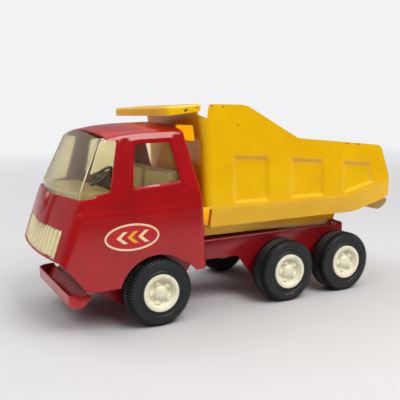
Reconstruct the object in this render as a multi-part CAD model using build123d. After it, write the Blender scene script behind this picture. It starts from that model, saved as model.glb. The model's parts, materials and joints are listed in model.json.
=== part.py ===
from build123d import *
import math
import os

# Toy dump truck in pressed steel, with plastic wheels, glazing, grille and seats. Millimetres.
# X runs forward, Y to the truck's left, Z up from the ground. Outlines are laid out from the front
# axle, and every part is then moved forward by front_axle_x, so that X = 0 is halfway along the truck.

# Whole truck
front_axle_x = 58.58
sheet = 0.9                   # thickness of every pressed steel part
wheel_radius = 19.5
axle_x = {"front": 0.0, "mid": -87.6, "rear": -133.0}

# Wheels and axles
axle_radius = 1.6
axle_half_length = 47.2
axle_clearance = 0.06         # radial running fit of an axle in the chassis
hub_face_y = 49.4
hub_spacer_y = 30.5           # inner end of the hub's sleeve, just clear of the chassis
hub_sleeve_radius = 3.2
rim_radius = 10.8
rim_thickness = 1.2
rim_barrel_radius = 9.8
rim_dish_radius = 8.2
rim_dish_depth = 3.2
hub_boss_radius = 4.4
hub_lugs = 5
tyre_outer_y = 48.9
tyre_inner_y = 33.9
tyre_shoulder = 2.6

# Chassis channel
chassis_half_width = 30.0
web_top = 42.4
chassis_rear_x = -145.4
chassis_bend = 1.8
bracket_bottom = 12.8
web_front_x = 24.0

# Bumper, a dished tray at the front of the chassis
bumper_front_x = 49.6
bumper_back_x = 38.4
bumper_half_width = 41.0
bumper_top = 22.5
bumper_bottom = 14.6
bumper_corner = 8.0
bumper_floor_front_x = 46.4   # the floor starts to rise here
bumper_edge = 2.4             # rounding between the front wall and the floor

# Tipping hinge
hinge_x = -137.5
hinge_z = 41.2
hinge_pin_radius = 1.0
hinge_clearance = 0.06
hinge_ear_radius = 2.8
hinge_gap = 0.3

# Cab: each row is height, rear x, front corner x, half width, bow of the front in plan, corner radius
cab_rows = [
    (25.0, -30.3, 61.6, 47.0, 4.6, 2.6),
    (68.3, -29.4, 45.9, 47.0, 4.7, 2.6),
    (75.4, -28.6, 43.3, 45.7, 4.7, 2.6),
    (108.6, -21.2, 27.6, 39.2, 3.6, 2.6),
    (112.0, -17.6, 23.4, 33.4, 3.0, 2.6),
    (114.3, -6.0, 9.0, 16.0, 1.4, 2.6),
]
cab_side_y = 47.0
cab_skirt = 25.4
grille_bottom = 43.6
grille_top = 58.8
grille_half_width = 36.8
grille_ribs = 13
glazing_thickness = 0.9
glazing_bottom = 73.0
glazing_top = 107.2

# Door decal, an upright oval
decal_x = 15.5
decal_z = 53.1
decal_length = 31.8
decal_height = 15.0
decal_thickness = 0.15

# Tipping bed
bed_half_width = 42.7
bed_front_x = -36.0
bed_tail_x = -175.4
bed_fold_y = 39.7             # half width at the bottom of the inward-sloping strip
floor_bottom = 50.9
headboard_x = -33.0
headboard_lean_z = 100.0
headboard_lean = 0.105
canopy_front_x = -9.2
canopy_front_z = 123.0
canopy_rear_z = 124.3
canopy_lip = 5.1
panel_depth = 1.8
panel_bevel = 2.4
subframe_half_width = chassis_half_width - sheet - hinge_gap

# Rivets
rivet_radius = 1.2
rivet_head_radius = 2.2
rivet_head_height = 0.9


def xz_plate(points, y_low, y_high):
    """Flat plate with an outline in X and Z, between two values of Y."""
    plane = Plane(origin=(0, y_low, 0), x_dir=(1, 0, 0), z_dir=(0, -1, 0))
    outline = Polyline(*points, close=True)
    return extrude(plane * make_face(outline), amount=y_high - y_low, dir=(0, 1, 0))


def block(x_low, x_high, y_low, y_high, z_low, z_high):
    """Box between two corners."""
    size = (x_high - x_low, y_high - y_low, z_high - z_low)
    centre = ((x_low + x_high) / 2, (y_low + y_high) / 2, (z_low + z_high) / 2)
    return Pos(*centre) * Box(*size)


def y_rod(x, z, radius, y_low, y_high):
    """Round bar along Y."""
    return Pos(x, (y_low + y_high) / 2, z) * Rot(90, 0, 0) * Cylinder(radius, y_high - y_low)


def mirrored(shape):
    """The same shape on the truck's other side."""
    return mirror(shape, about=Plane.XZ)


def rivet(x, y, z_low, z_high, flush=False):
    """Rivet through two sheets lying between two heights: domed below, and domed or flush on top."""
    shank = Pos(x, y, (z_low + z_high) / 2) * Cylinder(rivet_radius, z_high - z_low)
    dome_radius = (rivet_head_radius**2 + rivet_head_height**2) / (2 * rivet_head_height)
    drop = dome_radius - rivet_head_height
    half = rivet_head_radius + 1
    below = block(x - half, x + half, y - half, y + half, z_low - half, z_low)
    body = shank + (Pos(x, y, z_low + drop) * Sphere(dome_radius) & below)
    if flush:
        return body
    above = block(x - half, x + half, y - half, y + half, z_high, z_high + half)
    return body + (Pos(x, y, z_high - drop) * Sphere(dome_radius) & above)


# ---- Chassis ----

def bumper_tray():
    """Tray with an upright front wall, rounded ends and foot, and a floor that rises to the back."""
    def dish(inset):
        front = bumper_front_x - inset
        half = bumper_half_width - inset
        plan = Pos((front + bumper_back_x) / 2, 0) * Rectangle(front - bumper_back_x, 2 * half)
        front_corners = plan.vertices().group_by(Axis.X)[-1]
        plan = extrude(fillet(front_corners, bumper_corner - inset), amount=bumper_top)
        low = bumper_bottom + inset
        side = [
            (front + 1, bumper_top), (front + 1, low), (bumper_floor_front_x, low),
            (42.4, low + 1.8), (bumper_back_x, low + 6.2), (bumper_back_x, bumper_top),
        ]
        body = plan & xz_plate(side, -half, half)
        lowest = body.edges().group_by(Axis.Z)[0]
        foot = [edge for edge in lowest if edge.center().X > bumper_floor_front_x + 1]
        return fillet(foot, bumper_edge - inset)

    return dish(0) - dish(sheet)


def chassis_frame():
    """Inverted channel whose flanges carry the axles, with the bumper tray at its front."""
    def side_outline(inset):
        top = web_top - inset
        return [
            (chassis_rear_x + inset, top), (web_front_x - inset, top), (39.2 - 1.4 * inset, 21.4),
            (36.0, 21.4 - 3 * inset), (17.2, 11.0 - 3 * inset), (-15.0, 11.0 - 3 * inset),
            (-29.0, 29.8 - 3 * inset), (-61.0, 29.4 - 3 * inset), (-73.0, bracket_bottom - 3 * inset),
            (-141.0, bracket_bottom - 3 * inset), (chassis_rear_x + inset, 22.0 - 3 * inset),
        ]

    half = chassis_half_width
    outer = xz_plate(side_outline(0), -half, half)
    top_edges = outer.edges().filter_by(Axis.X).group_by(Axis.Z)[-1]
    outer = fillet(top_edges, chassis_bend)
    inner = xz_plate(side_outline(sheet), -half + sheet, half - sheet)
    top_edges = inner.edges().filter_by(Axis.X).group_by(Axis.Z)[-1]
    inner = fillet(top_edges, chassis_bend - sheet)
    frame = outer - inner
    # The end flange is only a short lip below the web.
    frame -= block(chassis_rear_x - 1, chassis_rear_x + 2 * sheet, -half + sheet, half - sheet, 0, 37.2)
    ear = [(-130.5, web_top - 3), (-130.5, web_top - 1), (-135.0, 44.8), (-138.0, 44.9),
           (chassis_rear_x, 41.6), (chassis_rear_x, 38.0)]
    for side in (-1, 1):
        y_low, y_high = sorted((side * (half - sheet), side * half))
        frame += xz_plate(ear, y_low, y_high)
    frame += bumper_tray()
    # Slots for the bed's hinge ears, beside each flange.
    for side in (-1, 1):
        y_low, y_high = sorted((side * (half - sheet), side * (subframe_half_width - sheet - hinge_gap)))
        frame -= block(-142.6, -132.4, y_low, y_high, web_top - 4, web_top + 1)
    for x in axle_x.values():
        frame -= y_rod(x, wheel_radius, axle_radius + axle_clearance, -half - 1, half + 1)
    frame -= y_rod(hinge_x, hinge_z, hinge_pin_radius, -half - 1, half + 1)
    for x, y in cab_rivet_places:
        frame -= Pos(x, y, web_top) * Cylinder(rivet_radius, 10)
    return frame


# ---- Cab ----

cab_tab_front_x = -21.6
cab_tab_half_width = 24.0
cab_rivet_places = [(-25.4, -16.0), (-25.4, 16.0)]


def cab_solid(inset, z_low=cab_rows[0][0]):
    """The cab's outer form, drawn in all round by an inset."""
    faces = []
    for z, rear, corner, half, bow, radius in cab_rows:
        if z == cab_rows[0][0]:
            z = z_low
        level = z - inset if z > 100 else z
        side = half - inset
        back = Line((rear + inset, side), (rear + inset, -side))
        right = Line((rear + inset, -side), (corner - inset, -side))
        left = Line((rear + inset, side), (corner - inset, side))
        front = ThreePointArc((corner - inset, -side), (corner + bow - inset, 0), (corner - inset, side))
        face = make_face([back, right, front, left])
        face = fillet(face.vertices(), max(radius - inset, 0.4))
        faces.append(Pos(0, 0, level) * face)
    return loft(faces, ruled=True)


def cab_shell():
    """Pressed shell: front, sides, rear wall and domed roof, open below."""
    shell = cab_solid(0) - cab_solid(sheet, cab_rows[0][0] - 1)
    reach = cab_side_y + 2
    # The front ends at the bottom of the grille, and the sides sweep back from there.
    shell -= xz_plate([(55.1, 42.9), (70, 42.9), (70, 20), (30, 20), (42.0, 26.3)], -reach, reach)
    shell -= block(-40, 70, -reach, reach, 20, cab_skirt)
    shell -= block(-40, -23.2, -reach, reach, 20, 29.4)
    # Wheel arches: a round arch with a straight run at its rear.
    shell -= y_rod(0.8, 17.8, 23.6, -reach, reach)
    shell -= xz_plate([(-23.2, 20), (-23.2, 29.4), (-17.4, 35.2), (0, 30), (0, 20)], -reach, reach)
    # The rear wall straddles the chassis.
    half = chassis_half_width
    shell -= block(-40, -20, -half - 0.1, half + 0.1, 20, web_top)
    # Windscreen with quarter lights, side windows and rear window.
    screen = [(37.4, 75.4), (60, 75.4), (60, 106.6), (19.6, 105.4), (26.4, 78.2), (34.8, 77.0)]
    shell -= xz_plate(screen, -reach, reach)
    window = [(9.9, 103.0), (-11.3, 103.4), (-15.7, 81.6), (13.3, 79.7)]
    shell -= xz_plate(window, -reach, reach)
    shell -= block(-40, -15, -25, 25, 84, 102)
    half = grille_half_width + 0.1
    shell -= block(40, 70, -half, half, grille_bottom, grille_top + 0.1)
    # A tab at the foot of the rear wall is riveted to the chassis.
    shell += block(-29.6, cab_tab_front_x, -cab_tab_half_width, cab_tab_half_width, web_top, web_top + sheet)
    for x, y in cab_rivet_places:
        shell -= Pos(x, y, web_top) * Cylinder(rivet_radius, 10)
    return shell


def windshield():
    """Tinted liner behind the windscreen, quarter lights and side windows."""
    gap = sheet + 0.1
    liner = cab_solid(gap) - cab_solid(gap + glazing_thickness)
    return liner & block(-18.5, 60, -60, 60, glazing_bottom, glazing_top)


def grille():
    """Ribbed insert that follows the sloped and bowed front of the cab."""
    half = grille_half_width
    zone = block(40, 70, -half, half, grille_bottom + 0.1, grille_top)
    backing = (cab_solid(0.8) - cab_solid(1.8)) & zone
    ribs = (cab_solid(0) - cab_solid(0.8)) & zone
    pitch = 2 * half / grille_ribs
    for n in range(grille_ribs - 1):
        y = -half + pitch * (n + 1)
        ribs -= block(40, 70, y - pitch * 0.17, y + pitch * 0.17, 40, 70)
    return backing + ribs


def cab_interior():
    """One thin moulding: two seats and the shelf of the dashboard, on the chassis web."""
    outline = [
        (-20.8, web_top), (-19.6, 82.0), (-16.4, 86.6), (-11.0, 85.0), (-8.4, 63.0), (6.0, 61.0),
        (8.0, 47.0), (13.0, 47.0), (17.0, 74.5), (21.0, 77.2), (40.0, 77.2), (43.0, 70.0), (48.0, web_top),
    ]
    wall = 1.1
    half = 37.0
    outer = xz_plate(outline, -half, half)
    inner_face = offset(make_face(Polyline(*outline, close=True)), amount=-wall)
    plane = Plane(origin=(0, -half + wall, 0), x_dir=(1, 0, 0), z_dir=(0, -1, 0))
    inner = extrude(plane * inner_face, amount=2 * (half - wall), dir=(0, 1, 0))
    moulding = outer - inner - block(-19.4, 46.6, -half + wall, half - wall, web_top - 1, web_top + 2)
    gap = 3.0                 # between the two seat backs
    moulding -= block(-30, -5, -gap, gap, 63.0, 90)
    for side in (-1, 1):
        y_low, y_high = sorted((side * gap, side * (gap + wall)))
        moulding += xz_plate([(-19.2, 63.0), (-19.5, 81.0), (-16.4, 86.0), (-11.2, 84.6), (-8.6, 63.0)],
                             y_low, y_high)
    return moulding + block(-19.6, -7.4, -gap - wall, gap + wall, 61.8, 63.0)


def steering_wheel():
    """Ring with a centre disc and two spokes, on a column that leaves the dashboard."""
    tilt = Pos(23.4, 20.0, 84.6) * Rot(0, 38, 0)
    ring = tilt * Torus(7.4, 0.9)
    disc = tilt * Cylinder(1.9, 1.4)
    spokes = tilt * Box(1.6, 13.6, 0.9) + tilt * Pos(3.4, 0, 0) * Box(6.8, 1.6, 0.9)
    column = tilt * Pos(0, 0, -4.6) * Cylinder(1.2, 9.2)
    shelf = block(-30, 45, -40, 40, 40, 77.2)
    return (ring + disc + spokes + column) - shelf


def door_decal(side):
    """Oval sticker on the door."""
    y_low, y_high = sorted((side * cab_side_y, side * (cab_side_y + decal_thickness)))
    plane = Plane(origin=(decal_x, y_low, decal_z), x_dir=(1, 0, 0), z_dir=(0, -1, 0))
    oval = plane * Ellipse(decal_length / 2, decal_height / 2)
    return extrude(oval, amount=y_high - y_low, dir=(0, 1, 0))


# ---- Bed ----

fold_line = [(-36.0, 63.2), (-141.6, 62.2), (bed_tail_x, 71.4)]
bottom_line = [(-36.0, 51.9), (-141.6, 50.9), (-152.0, 52.2), (bed_tail_x, 60.0)]
side_top = [
    (bed_tail_x + 0.3, 71.4), (-174.6, 75.0), (-168.6, 91.6), (-167.2, 94.0), (-164.4, 95.2), (-158.0, 96.0),
    (-100.6, 102.0), (-97.6, 102.6), (-94.8, 104.2), (-64.2, 121.2), (-61.0, 122.7), (-57.2, 123.4),
    (-35.4, 124.0), (-35.4, 116.4), (-38.0, headboard_lean_z), (-38.0, 64.2), (-36.0, 64.2), (-36.0, 63.2),
]
# Each pressed panel: upper front, upper rear, lower rear and lower front corner
panels = [
    [(-50.8, 94.2), (-76.9, 92.3), (-77.6, 63.8), (-50.8, 64.4)],
    [(-92.6, 90.6), (-119.2, 88.2), (-120.0, 63.6), (-92.4, 64.0)],
    [(-134.4, 86.4), (-158.6, 84.0), (-163.0, 69.6), (-134.8, 63.4)],
]


def line_height(line, x):
    """Height of a line of points at a value of X."""
    for (x0, z0), (x1, z1) in zip(line, line[1:]):
        if x >= x1:
            return z0 + (z1 - z0) * (x - x0) / (x1 - x0)
    return line[-1][1]


def strip_section(x, foot_y):
    """Cross-section of the strip that slopes inward at the foot of a side."""
    top, low = line_height(fold_line, x), line_height(bottom_line, x)
    overlap = 0.3             # runs a little way up the upright sheet
    corners = [(x, bed_half_width, top + overlap), (x, bed_half_width - sheet, top + overlap),
               (x, bed_half_width - sheet, top), (x, foot_y - sheet, low),
               (x, foot_y, low), (x, bed_half_width, top)]
    return make_face(Polyline(*corners, close=True))


def drawn_in(corners, bevel):
    """A panel's corners moved towards its middle by the bevel."""
    mid_x = sum(x for x, z in corners) / 4
    mid_z = sum(z for x, z in corners) / 4
    return [(x + math.copysign(bevel, mid_x - x), z + math.copysign(bevel, mid_z - z)) for x, z in corners]


def panel_frustum(corners, y_open, y_floor):
    """Bevelled block that fills a pressed panel, from its mouth to its floor."""
    faces = []
    for y, points in ((y_open, corners), (y_floor, drawn_in(corners, panel_bevel))):
        faces.append(make_face(Polyline(*[(x, y, z) for x, z in points], close=True)))
    return loft(faces, ruled=True)


def bed_side():
    """Left side of the bed: upright sheet with three pressed panels, sloping foot and wrapped front."""
    face_y = bed_half_width
    outline = [(x, z) for x, z in side_top] + [(-141.6, 62.2)]
    wall = xz_plate(outline, face_y - sheet, face_y)
    for corners in panels:
        inner = panel_frustum(corners, face_y - sheet, face_y - sheet - panel_depth)
        wall = wall + inner
        wall -= panel_frustum(corners, face_y, face_y - panel_depth)
        floor = drawn_in(corners, panel_bevel)
        wall -= xz_plate(floor, face_y - panel_depth, face_y + 1)
    strip = loft([strip_section(-36.0, bed_fold_y), strip_section(-141.6, bed_fold_y)], ruled=True)
    tail = loft([strip_section(-141.6, bed_fold_y), strip_section(-152.0, bed_fold_y + 0.6),
                 strip_section(bed_tail_x, 42.0)], ruled=True)
    return wall + strip + tail + front_wrap() + foot_return()


def front_wrap():
    """The side's front edge, bent round a quarter turn to lie on the headboard."""
    radius = 5.0
    flange_y = 34.6
    face_x = headboard_x + sheet

    def wrap_section(z, shift):
        x = face_x + shift
        y = bed_half_width
        outer = Line((x, flange_y), (x, y - radius))
        bend = RadiusArc((x, y - radius), (x - radius, y), -radius)
        back = Line((x - radius, y), (-38.0, y))
        end = Line((-38.0, y), (-38.0, y - sheet))
        inner_back = Line((-38.0, y - sheet), (x - radius, y - sheet))
        inner_bend = RadiusArc((x - radius, y - sheet), (x - sheet, y - radius), radius - sheet)
        inner = Line((x - sheet, y - radius), (x - sheet, flange_y))
        close = Line((x - sheet, flange_y), (x, flange_y))
        return Pos(0, 0, z) * make_face([outer, bend, back, end, inner_back, inner_bend, inner, close])

    top = 116.4
    upright = extrude(wrap_section(64.2, 0), amount=headboard_lean_z - 64.2)
    lean = (top - headboard_lean_z) * headboard_lean
    leaning = loft([wrap_section(headboard_lean_z, 0), wrap_section(top, lean)], ruled=True)
    return upright + leaning


def foot_return():
    """Narrow flange turned in at the front of the sloping foot."""
    x = bed_front_x - sheet
    overlap = 0.3             # runs into the strip's inner face
    corners = [(x, bed_half_width - sheet + overlap, 63.0), (x, bed_half_width - 4.0, 62.6),
               (x, bed_fold_y - 3.6, 52.4), (x, bed_fold_y - sheet + overlap, 52.2)]
    return extrude(make_face(Polyline(*corners, close=True)), amount=sheet, dir=(1, 0, 0))


def bed_floor():
    """Floor sheet that ramps up to the tail, with wedge-shaped flanges under the ramp."""
    half = bed_fold_y - sheet
    low = floor_bottom
    ramp = [(-157.6, 53.1), (-174.9, 57.3), (-174.9, 57.3 + sheet), (-157.6, 53.1 + sheet)]
    section = [(-36.9, low), (-141.6, low), *ramp, (-141.6, low + sheet), (-36.9, low + sheet)]
    floor = xz_plate(section, -half, half)
    wide = 40.8
    floor += xz_plate(ramp, -wide, wide)
    wedge = [(-157.6, 53.4), (-157.6, 53.1), (-171.0, 49.7), (-174.9, 51.0), (-176.9, 54.2), (-176.4, 56.4),
             (-174.9, 57.6)]
    for side in (-1, 1):
        y_low, y_high = sorted((side * wide, side * (wide - sheet)))
        floor += xz_plate(wedge, y_low, y_high)
    for x, y in bed_rivet_places:
        floor -= Pos(x, y, low) * Cylinder(rivet_radius, 10)
    return floor


def headboard_front(z):
    """Front face of the headboard, which leans forward above the lean height."""
    return headboard_x + max(0, z - headboard_lean_z) * headboard_lean


def bed_headboard():
    """Headboard with two windows, bent forward at its top into the cab canopy."""
    half = 37.5               # clear of the bend in the side's wrapped edge
    top = canopy_rear_z
    front = [(headboard_x, 52.6), (headboard_x, headboard_lean_z), (headboard_front(top), top)]
    back = [(x - sheet, z) for x, z in reversed(front)]
    board = xz_plate(front + back, -half, half)
    low_half = 35.0           # the board narrows below the side's wrapped edge
    for side in (-1, 1):
        y_low, y_high = sorted((side * low_half, side * (half + 1)))
        board -= block(-40, -25, y_low, y_high, 50, 64.0)
    for side in (-1, 1):
        y_low, y_high = sorted((side * 5.9, side * 30.6))
        board -= block(-40, -25, y_low, y_high, 102.7, 112.0)
    return board + canopy()


def canopy():
    """Roof over the cab with lips turned down at its front and sides."""
    half = bed_half_width
    rear_x = headboard_front(canopy_rear_z) - sheet
    roof = [(canopy_front_x, canopy_front_z), (rear_x, canopy_rear_z),
            (rear_x, canopy_rear_z - sheet), (canopy_front_x, canopy_front_z - sheet)]
    roof = xz_plate(roof, -half, half)
    lip_low = canopy_front_z - canopy_lip
    front_lip = block(canopy_front_x - sheet, canopy_front_x, -half, half, lip_low, canopy_front_z - 0.05)
    side_lip = [(canopy_front_x, canopy_front_z), (rear_x, canopy_rear_z), (-29.4, 120.0),
                (canopy_front_x, lip_low)]
    for side in (-1, 1):
        y_low, y_high = sorted((side * (half - sheet), side * half))
        roof += xz_plate(side_lip, y_low, y_high)
    return roof + front_lip


def bed_subframe():
    """Channel under the floor, with ears at its rear for the hinge pin."""
    half = subframe_half_width
    top = floor_bottom
    outline = [(-34.0, top), (-34.6, 44.5), (-131.0, 43.0), (-134.2, 42.8), (-134.9, 40.2),
               (-140.1, 40.2), (-138.4, 44.6), (-140.6, top)]
    channel = xz_plate(outline, -half, half)
    channel -= block(-150, -30, -half + sheet, half - sheet, 30, top - sheet)
    for side in (-1, 1):
        y_low, y_high = sorted((side * half, side * (half - sheet)))
        channel += y_rod(hinge_x, hinge_z, hinge_ear_radius, y_low, y_high)
    channel -= y_rod(hinge_x, hinge_z, hinge_pin_radius + hinge_clearance, -half - 1, half + 1)
    for x, y in bed_rivet_places:
        channel -= Pos(x, y, top) * Cylinder(rivet_radius, 10)
    return channel


bed_rivet_places = [(x, y) for x in (-56.0, -122.0) for y in (-17.0, 17.0)]


def hinge_pin():
    """Plain pin across the chassis, flush with the outside of its flanges."""
    return y_rod(hinge_x, hinge_z, hinge_pin_radius, -chassis_half_width, chassis_half_width)


# ---- Wheels ----

def turned(points):
    """Solid turned about the wheel's axis from radius and distance along Y."""
    face = make_face(Polyline(*[(r, y, 0) for r, y in points], close=True))
    return revolve(face, axis=Axis.Y)


def tyre():
    """Left tyre: flat tread with rounded shoulders, seated on the hub's barrel."""
    outer, inner = tyre_outer_y, tyre_inner_y
    rim = hub_face_y - rim_thickness
    corner = tyre_shoulder
    profile = [(rim_barrel_radius, inner + 0.7), (rim_barrel_radius, rim), (rim_radius + 0.05, rim),
               (rim_radius + 0.05, outer - 0.6), (12.0, outer)]
    steps = 4
    for centre_y, start in ((outer - corner, 90), (inner + corner, 0)):
        for n in range(steps + 1):
            angle = math.radians(start - 90 * n / steps)
            radius = wheel_radius - corner + corner * math.cos(angle)
            profile.append((radius, centre_y + corner * math.sin(angle)))
    profile.append((12.0, inner))
    return turned(profile)


def hub():
    """Left hub: flat rim ring, dished face with a boss and lugs, barrel and centre sleeve."""
    face, rim = hub_face_y, hub_face_y - rim_thickness
    dish = face - rim_dish_depth
    wall = 1.3
    back = tyre_inner_y + 0.7
    profile = [
        (0, face - 0.5), (hub_boss_radius - 1.2, face - 0.6), (hub_boss_radius, dish),
        (rim_dish_radius - 1.2, dish), (rim_dish_radius, face - 0.4), (rim_dish_radius + 0.3, face),
        (rim_radius, face), (rim_radius, rim), (rim_barrel_radius, rim), (rim_barrel_radius, back),
        (rim_barrel_radius - wall, back), (rim_barrel_radius - wall, dish - wall),
        (hub_sleeve_radius, dish - wall), (hub_sleeve_radius, hub_spacer_y),
        (axle_radius, hub_spacer_y), (axle_radius, axle_half_length), (0, axle_half_length),
    ]
    body = turned(profile)
    for n in range(hub_lugs):
        body += Rot(0, 360 / hub_lugs * n, 0) * block(3.2, 6.6, dish - 0.2, face - 1.3, -1.1, 1.1)
    return body


def axle():
    """Plain steel axle."""
    return y_rod(0, 0, axle_radius, -axle_half_length, axle_half_length)


# ---- Assembly ----

truck = Pos(front_axle_x, 0, 0)
left_side = bed_side()
parts = {
    "chassis_frame": chassis_frame(),
    "cab_shell": cab_shell(),
    "windshield": windshield(),
    "grille": grille(),
    "cab_interior": cab_interior(),
    "steering_wheel": steering_wheel(),
    "door_decal_left": door_decal(1),
    "door_decal_right": door_decal(-1),
    "cab_rivets": Compound([rivet(x, y, web_top - sheet, web_top + sheet) for x, y in cab_rivet_places]),
    "bed_side_left": left_side,
    "bed_side_right": mirrored(left_side),
    "bed_floor": bed_floor(),
    "bed_headboard": bed_headboard(),
    "bed_subframe": bed_subframe(),
    "bed_rivets": Compound([rivet(x, y, floor_bottom - sheet, floor_bottom + sheet, flush=True)
                            for x, y in bed_rivet_places]),
    "hinge_pin": hinge_pin(),
}
wheel_parts = {"tyre": tyre(), "hub": hub()}
for position, x in axle_x.items():
    place = Pos(x, 0, wheel_radius)
    parts[f"{position}_axle"] = place * axle()
    for name, left in wheel_parts.items():
        parts[f"{position}_{name}_left"] = place * left
        parts[f"{position}_{name}_right"] = place * mirrored(left)

os.makedirs("parts", exist_ok=True)
for name, shape in parts.items():
    export_step(truck * shape, f"parts/{name}.step")
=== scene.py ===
import json
import math

import bmesh
import bpy
from mathutils import Matrix, Vector

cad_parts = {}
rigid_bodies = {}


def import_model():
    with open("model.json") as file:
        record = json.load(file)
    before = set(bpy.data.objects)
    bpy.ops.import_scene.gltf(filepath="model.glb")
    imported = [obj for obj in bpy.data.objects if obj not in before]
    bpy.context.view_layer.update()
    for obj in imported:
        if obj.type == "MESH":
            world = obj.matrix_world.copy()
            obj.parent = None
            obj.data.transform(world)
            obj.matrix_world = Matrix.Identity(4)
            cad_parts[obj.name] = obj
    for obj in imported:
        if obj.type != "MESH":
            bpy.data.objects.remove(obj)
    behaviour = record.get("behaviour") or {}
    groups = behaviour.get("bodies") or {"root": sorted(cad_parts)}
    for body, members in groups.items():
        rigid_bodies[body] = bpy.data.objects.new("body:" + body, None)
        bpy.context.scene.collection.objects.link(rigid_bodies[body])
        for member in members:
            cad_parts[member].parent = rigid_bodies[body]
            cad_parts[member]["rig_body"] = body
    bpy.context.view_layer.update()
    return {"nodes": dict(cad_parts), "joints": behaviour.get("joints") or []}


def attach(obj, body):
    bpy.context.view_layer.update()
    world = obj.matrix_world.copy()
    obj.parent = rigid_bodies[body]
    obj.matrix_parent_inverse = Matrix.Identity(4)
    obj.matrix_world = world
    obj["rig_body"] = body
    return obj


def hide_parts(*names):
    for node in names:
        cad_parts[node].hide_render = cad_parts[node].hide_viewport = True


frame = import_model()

print("frame loaded")

# Every outline is in millimetres, measured from the front axle, which the frame places.
axleX = {joint["name"].split("_")[0]: joint["pos_m"][0] for joint in frame["joints"]}
toFrame = Matrix.Translation((axleX["front"], 0, 0)) @ Matrix.Scale(0.001, 4)
fromFrame = toFrame.inverted()
sheet = 0.9                                  # pressed steel, 20 gauge
wheelSets = ("front", "mid", "rear")


# Small tools

def smoothStep(low, high, value):
    share = min(1.0, max(0.0, (value - low) / (high - low)))
    return share * share * (3 - 2 * share)


def along(points, x):                        # height of a line of points at x
    for (x0, z0), (x1, z1) in zip(points, points[1:]):
        if min(x0, x1) <= x <= max(x0, x1) and x0 != x1:
            return z0 + (z1 - z0) * (x - x0) / (x1 - x0)
    return points[0][1] if abs(x - points[0][0]) < abs(x - points[-1][0]) else points[-1][1]


def outsideBy(points, x, z):                 # distance outside a convex outline, negative within it
    centreX = sum(p[0] for p in points) / len(points)
    centreZ = sum(p[1] for p in points) / len(points)
    worst = -1e9
    for (x0, z0), (x1, z1) in zip(points, points[1:] + points[:1]):
        normal = Vector((z1 - z0, x0 - x1)).normalized()
        if normal.dot(Vector((centreX - x0, centreZ - z0))) > 0:
            normal = -normal
        worst = max(worst, normal.dot(Vector((x - x0, z - z0))))
    return worst


def mappedSheet(bm, uSteps, vSteps, shape):  # a grid whose points are carried to shape(u, v), both 0 to 1
    made = bmesh.ops.create_grid(bm, x_segments=uSteps, y_segments=vSteps, size=0.5)
    for v in made["verts"]:
        v.co = Vector(shape(v.co.x + 0.5, v.co.y + 0.5))
    return made["verts"]


def prism(bm, points, low, high, axis="Y", radius=0.0, segments=4):   # an outline extruded along one axis
    def placed(a, b, depth):
        return (a, depth, b) if axis == "Y" else (depth, a, b) if axis == "X" else (a, b, depth)

    ring = [bm.verts.new(placed(a, b, low)) for a, b in points]
    face = bm.faces.new(ring)
    made = bmesh.ops.extrude_face_region(bm, geom=[face])
    top = [g for g in made["geom"] if isinstance(g, bmesh.types.BMVert)]
    bmesh.ops.translate(bm, verts=top, vec=Vector(placed(0, 0, high)) - Vector(placed(0, 0, low)))
    body = set(ring) | set(top)
    if radius:
        across = [e for e in bm.edges if set(e.verts) <= body and (e.verts[0] in ring) != (e.verts[1] in ring)]
        bevelled = bmesh.ops.bevel(bm, geom=across, offset=radius, offset_type="OFFSET", segments=segments,
                                   profile=0.5, affect="EDGES", material=-1)
        body = {v for v in body if v.is_valid} | set(bevelled["verts"])
    bmesh.ops.recalc_face_normals(bm, faces=[f for f in bm.faces if set(f.verts) <= body])
    return body


def spunRing(bm, profile, steps):            # profile is radius and Y; spun about the Y axis through the origin
    verts = [bm.verts.new((0, y, r)) for r, y in profile]
    edges = [bm.edges.new(pair) for pair in zip(verts, verts[1:])]
    bmesh.ops.spin(bm, geom=verts + edges, cent=(0, 0, 0), axis=(0, 1, 0), dvec=(0, 0, 0),
                   angle=2 * math.pi, steps=steps, use_merge=True, use_duplicate=False)
    bmesh.ops.remove_doubles(bm, verts=bm.verts, dist=0.001)
    bmesh.ops.recalc_face_normals(bm, faces=bm.faces)


def asObject(name, bm, mats=()):
    mesh = bpy.data.meshes.new(name)
    bm.to_mesh(mesh)
    bm.free()
    made = bpy.data.objects.new(name, mesh)
    bpy.context.scene.collection.objects.link(made)
    for mat in mats:
        mesh.materials.append(mat)
    return made


def settled(obj):                            # its modifiers become its mesh
    graph = bpy.context.evaluated_depsgraph_get()
    mesh = bpy.data.meshes.new_from_object(obj.evaluated_get(graph), depsgraph=graph)
    obj.modifiers.clear()
    obj.data = mesh
    return obj


def thicken(obj, thickness=sheet):
    wall = obj.modifiers.new("wall", "SOLIDIFY")
    wall.thickness, wall.offset, wall.use_even_offset = thickness, -1.0, False
    return settled(obj)


def carve(obj, cutterMesh):
    cutter = asObject("cutter", cutterMesh)
    cut = obj.modifiers.new("cut", "BOOLEAN")
    cut.operation, cut.solver, cut.object, cut.use_self = "DIFFERENCE", "EXACT", cutter, True
    settled(obj)
    bpy.data.objects.remove(cutter)
    return obj


def finishPiece(obj, body, replaced=(), bevel=0.0, segments=2, angle=35.0):
    obj.data.transform(toFrame)
    obj.data.polygons.foreach_set("use_smooth", [True] * len(obj.data.polygons))
    if bevel:
        edge = obj.modifiers.new("edge", "BEVEL")
        edge.width, edge.segments, edge.limit_method = bevel * 0.001, segments, "ANGLE"
        edge.angle_limit, edge.harden_normals = math.radians(angle), True
    else:
        obj.data.set_sharp_from_angle(angle=math.radians(angle))
    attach(obj, body)
    if replaced:
        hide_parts(*replaced)
    return obj


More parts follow.
